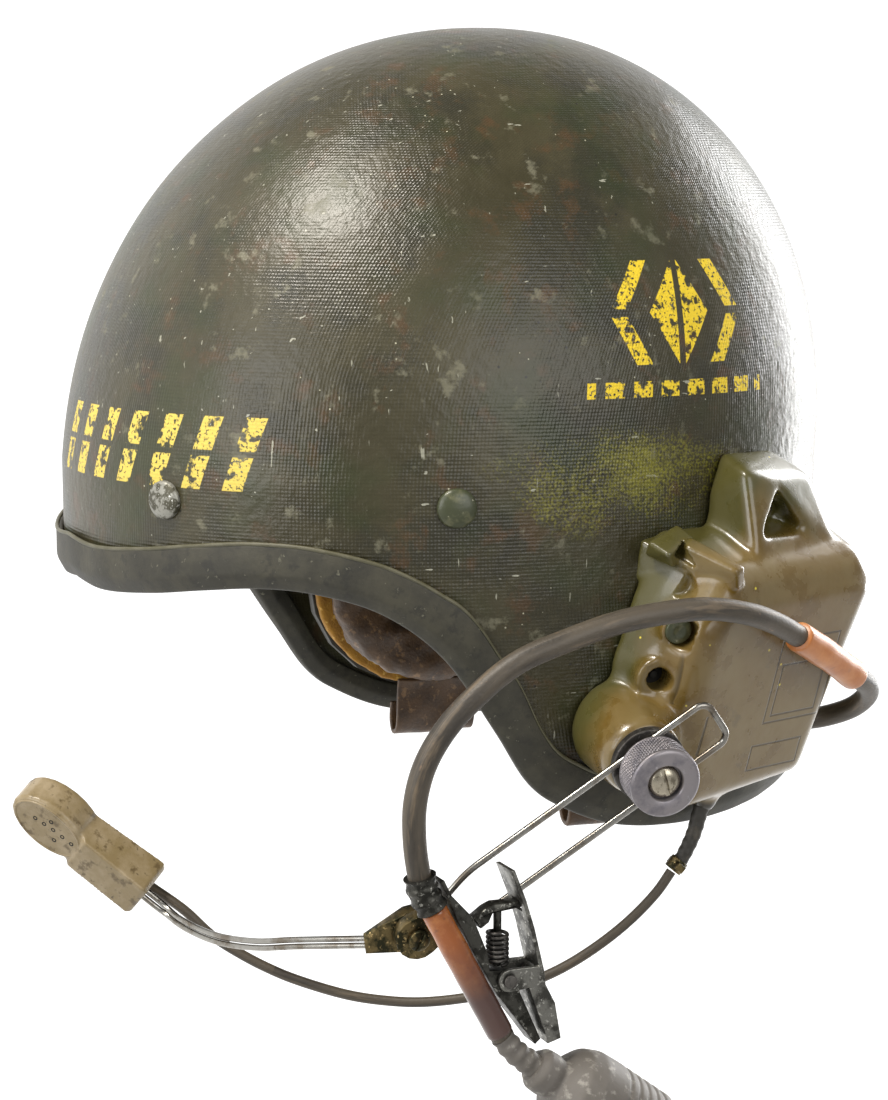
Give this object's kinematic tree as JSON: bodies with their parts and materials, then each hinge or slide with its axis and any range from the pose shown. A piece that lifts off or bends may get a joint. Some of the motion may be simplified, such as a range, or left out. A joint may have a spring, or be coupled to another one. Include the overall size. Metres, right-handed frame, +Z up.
{
  "type": "tanker helmet",
  "caption": "Hard crew helmet with rubber edge trim, padded ear cups, side switch box, swinging wire boom microphone, intercom cord, clothing clip and plug.",
  "frame": {"origin": "inner top of the crown, where the helmet sits on a head", "axes": "+Z up, -Y the wearer's front, +X the wearer's left"},
  "size_m": [0.296, 0.307, 0.3828],
  "materials": {
    "shell_enamel": "worn olive drab enamel over moulded laminate, semi-gloss",
    "edge_rubber": "dull dark grey-olive rubber",
    "rivet_silver": "chipped silver paint on steel",
    "rivet_green": "dark green paint",
    "cup_plastic": "dark moulded plastic",
    "ear_foam": "aged yellow foam",
    "leather": "worn brown leather",
    "box_enamel": "glossy khaki varnish, worn",
    "brass": "tarnished brass with old green paint",
    "cord_rubber": "dull grey-brown rubber",
    "steel": "worn turned steel",
    "wire_steel": "bright plated wire",
    "mic_enamel": "chipped beige enamel",
    "sleeve_orange": "glossy orange-brown sleeve",
    "sleeve_copper": "copper-orange sleeve shading to purple-brown",
    "dark_steel": "dark worn steel with bright edges",
    "plug_rubber": "dull grey moulded rubber"
  },
  "bodies": {
    "helmet": {"box_cover": "box_enamel", "box_screw": "brass", "clamp_spool": "steel", "clip_base": "dark_steel", "clip_pin": "dark_steel", "clip_spring": "dark_steel", "clip_yoke": "dark_steel", "cord_collar": "dark_steel", "cord_gland": "cord_rubber", "cord_sleeve_lower": "sleeve_copper", "cord_sleeve_upper": "sleeve_orange", "ear_cup_left": "cup_plastic", "ear_cup_right": "cup_plastic", "ear_foam_left": "ear_foam", "ear_foam_right": "ear_foam", "ear_pad_left": "leather", "ear_pad_right": "leather", "ear_tab_left": "leather", "ear_tab_right": "leather", "edge_trim": "edge_rubber", "knob_screw": "steel", "main_cord_front": "cord_rubber", "main_cord_rear": "cord_rubber", "mic_cord": "cord_rubber", "mic_cord_boot": "cord_rubber", "mic_cord_ferrule": "brass", "plug": "plug_rubber", "plug_neck": "plug_rubber", "rivet_front_left": "rivet_silver", "rivet_front_right": "rivet_silver", "rivet_side_left": "rivet_green", "rivet_side_right": "rivet_green", "shell": "shell_enamel", "switch_box": "box_enamel"},
    "boom_clamp": {"clamp_hub": "steel"},
    "boom": {"wire_loop": "wire_steel", "swivel_block": "brass", "swivel_screw": "brass"},
    "mic_boom": {"arm_block": "brass", "mic_wire_upper": "wire_steel", "mic_wire_lower": "wire_steel", "mic_body": "mic_enamel"},
    "knob": {"knob": "steel"},
    "clip_jaw": {"clip_lever": "dark_steel"}
  },
  "joints": [
    {"name": "boom_swing", "type": "hinge", "parent": "helmet", "child": "boom_clamp", "pos_m": [0.1489, 0.0121, -0.236], "axis": [0.9767, -0.0961, -0.1921], "range_deg": [-15, 35], "deforming": ["mic_cord"]},
    {"name": "boom_slide", "type": "slide", "parent": "boom_clamp", "child": "boom", "axis": [-0.1904, -0.8014, -0.5671], "range_m": [-0.02, 0.015]},
    {"name": "mic_turn", "type": "hinge", "parent": "boom", "child": "mic_boom", "pos_m": [0.13119, -0.06243, -0.28874], "axis": [0.9767, -0.0961, -0.1921], "range_deg": [-8, 35]},
    {"name": "knob_turn", "type": "hinge", "parent": "helmet", "child": "knob", "pos_m": [0.1489, 0.0121, -0.236], "axis": [0.9767, -0.0961, -0.1921], "continuous": true},
    {"name": "clip_jaw", "type": "hinge", "parent": "helmet", "child": "clip_jaw", "pos_m": [0.153, -0.0403, -0.3006], "axis": [1, 0, 0], "range_deg": [0, 8], "stiffness_Nm_per_rad": 0.2, "springref_deg": -28.65}
  ]
}
